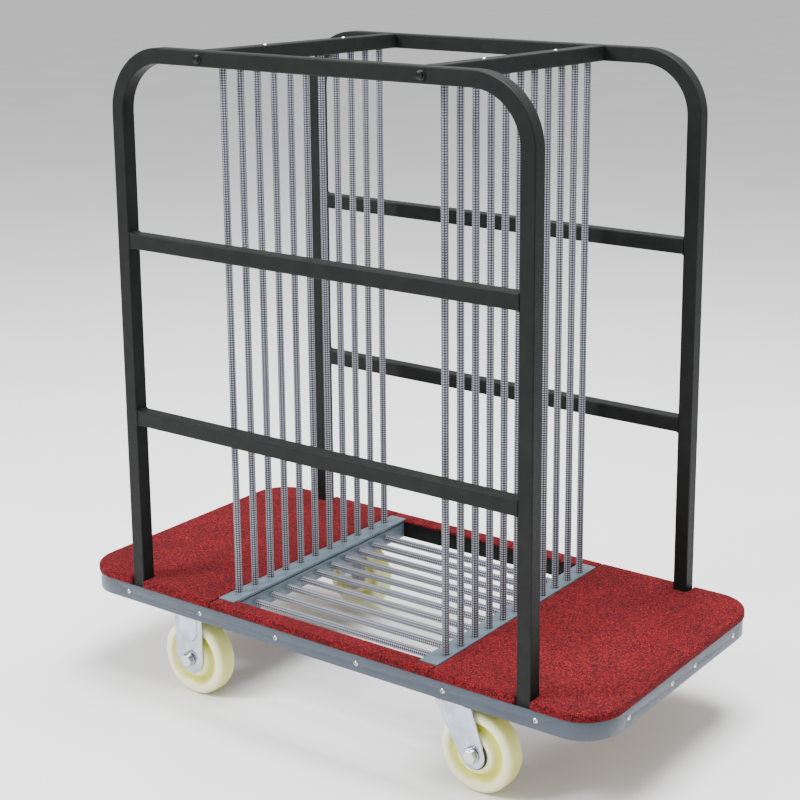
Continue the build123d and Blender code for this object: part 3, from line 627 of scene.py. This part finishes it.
# ---------------------------------------------------------------- weld beads
def weld_loop(name, centre, half_y, half_z, radius, side):
    """A rippled bead round a square tube where it meets the face of a leg."""
    path = []
    for sy, sz in ((1, 1), (-1, 1), (-1, -1), (1, -1)):
        start = math.atan2(sz, sy) - math.pi / 4
        for k in range(5):
            a = start + math.pi / 2 * k / 4
            y = sy * (half_y - corner_r) + corner_r * math.cos(a)
            z = sz * (half_z - corner_r) + corner_r * math.sin(a)
            path.append(Vector((0, y, z)))
    dense = []
    for i, p in enumerate(path):
        q = path[(i + 1) % len(path)]
        steps = max(1, round((q - p).length / (1.2 * MM)))
        dense += [p.lerp(q, k / steps) for k in range(steps)]
    verts, faces = [], []
    ring = 8
    for i, p in enumerate(dense):
        outward = Vector((0, p.y, p.z)).normalized()
        wave = 0.18 * math.sin(i * 2 * math.pi / 3.0)
        ripple = radius * (1 + wave + 0.25 * noise.noise(p * 300 + centre * 50))
        for k in range(ring):
            a = 2 * math.pi * k / ring
            offset = outward * (ripple * math.cos(a)) + Vector((side * ripple * math.sin(a), 0, 0))
            verts.append(centre + p + offset)
    n = len(dense)
    for i in range(n):
        j = (i + 1) % n
        for k in range(ring):
            m = (k + 1) % ring
            faces.append((i * ring + k, i * ring + m, j * ring + m, j * ring + k))
    mesh = bpy.data.meshes.new(name)
    mesh.from_pydata(verts, [], faces)
    bm = bmesh.new()
    bm.from_mesh(mesh)
    bmesh.ops.recalc_face_normals(bm, faces=bm.faces)
    bm.to_mesh(mesh)
    bm.free()
    for polygon in mesh.polygons:
        polygon.use_smooth = True
    new_piece(name, mesh, "root", "frame_black")


for side_name in ("near", "far"):
    rails_low, rails_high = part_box("mid_rails_" + side_name)
    tube = rails_high.y - rails_low.y
    y = (rails_low.y + rails_high.y) / 2
    for level, z in (("upper", rails_high.z - tube / 2), ("lower", rails_low.z + tube / 2)):
        for end, x, way in (("left", rails_low.x, 1), ("right", rails_high.x, -1)):
            weld_loop(
                f"weld_{side_name}_{level}_{end}", Vector((x + way * 1.0 * MM, y, z)),
                tube / 2, tube / 2, bead_r, way,
            )


# ---------------------------------------------------------------- floor, light and camera
def studio():
    """Pale floor, a sky that is dimmer overhead and to the left, and two soft lamps."""
    low, high = cad_box
    span = (Vector(high) - Vector(low)).length
    bpy.ops.mesh.primitive_plane_add(size=floor_span * span, location=(0, 0, low[2]))
    floor = bpy.context.object
    floor.name = "floor"
    s = Shader("floor_pale")
    s.set(Base_Color=s.ramp(s.noise(2, 2), [(0.3, 0.86), (0.7, 0.90)]), Roughness=0.9)
    floor.data.materials.append(s.material)
    world = bpy.data.worlds.new("studio")
    bpy.context.scene.world = world
    world.use_nodes = True
    background = world.node_tree.nodes["Background"]
    background.inputs["Strength"].default_value = 1.35
    tree = world.node_tree
    place = tree.nodes.new("ShaderNodeTexCoord")
    split = tree.nodes.new("ShaderNodeSeparateXYZ")
    tree.links.new(place.outputs["Generated"], split.inputs[0])
    ramps = []
    up_stops = ((0.0, 0.66), (0.22, 1.0), (0.50, 0.90), (0.62, 0.42), (0.85, 0.36), (1.0, 0.95))
    across_stops = ((0.10, 0.42), (0.34, 0.95), (0.80, 1.0))
    for stops in (up_stops, across_stops):
        ramp = tree.nodes.new("ShaderNodeValToRGB")
        elements = ramp.color_ramp.elements
        while len(elements) < len(stops):
            elements.new(0.5)
        for element, (position, grey) in zip(elements, stops):
            element.position = position
            element.color = (grey, grey, grey * 1.01, 1)
        ramps.append(ramp)
    tree.links.new(split.outputs["Z"], ramps[0].inputs["Fac"])
    across = tree.nodes.new("ShaderNodeMath")
    across.operation = "MULTIPLY_ADD"
    across.inputs[1].default_value = 0.5
    across.inputs[2].default_value = 0.5
    tree.links.new(split.outputs["X"], across.inputs[0])
    tree.links.new(across.outputs[0], ramps[1].inputs["Fac"])
    both = tree.nodes.new("ShaderNodeMix")
    both.data_type = "RGBA"
    both.blend_type = "MULTIPLY"
    both.inputs["Factor"].default_value = 1.0
    sockets = [i for i in both.inputs if i.enabled]
    tree.links.new(ramps[0].outputs["Color"], sockets[1])
    tree.links.new(ramps[1].outputs["Color"], sockets[2])
    tree.links.new([o for o in both.outputs if o.enabled][0], background.inputs["Color"])
    middle = Vector((0, 0, (low[2] + high[2]) / 2))
    for name, place, size, power in (
        ("key", (-2.4, -3.2, 3.6), 1.6, 320.0),
        ("top", (0.5, 0.3, 4.4), 2.2, 440.0),
    ):
        lamp = bpy.data.lights.new(name, "AREA")
        lamp.size = size
        lamp.energy = power
        holder = bpy.data.objects.new(name, lamp)
        bpy.context.scene.collection.objects.link(holder)
        holder.location = place
        holder.rotation_euler = (middle - Vector(place)).to_track_quat("-Z", "Y").to_euler()


def camera():
    """Camera at the fitted angle of view, with a small shift for the framing."""
    data = bpy.data.cameras.new("camera")
    data.lens = 74.55
    data.sensor_width = 36.0
    data.shift_x = -0.14
    data.shift_y = -0.14
    obj = bpy.data.objects.new("camera", data)
    bpy.context.scene.collection.objects.link(obj)
    yaw, pitch, roll = (math.radians(a) for a in (33.528, -12.718, 0.391))
    turn = Matrix.Rotation(yaw, 4, "Z") @ Matrix.Rotation(math.pi / 2 + pitch, 4, "X")
    turn = turn @ Matrix.Rotation(roll, 4, "Z")
    obj.matrix_world = Matrix.Translation((1.9262, -2.5430, 1.5682)) @ turn
    bpy.context.scene.camera = obj


studio()
camera()
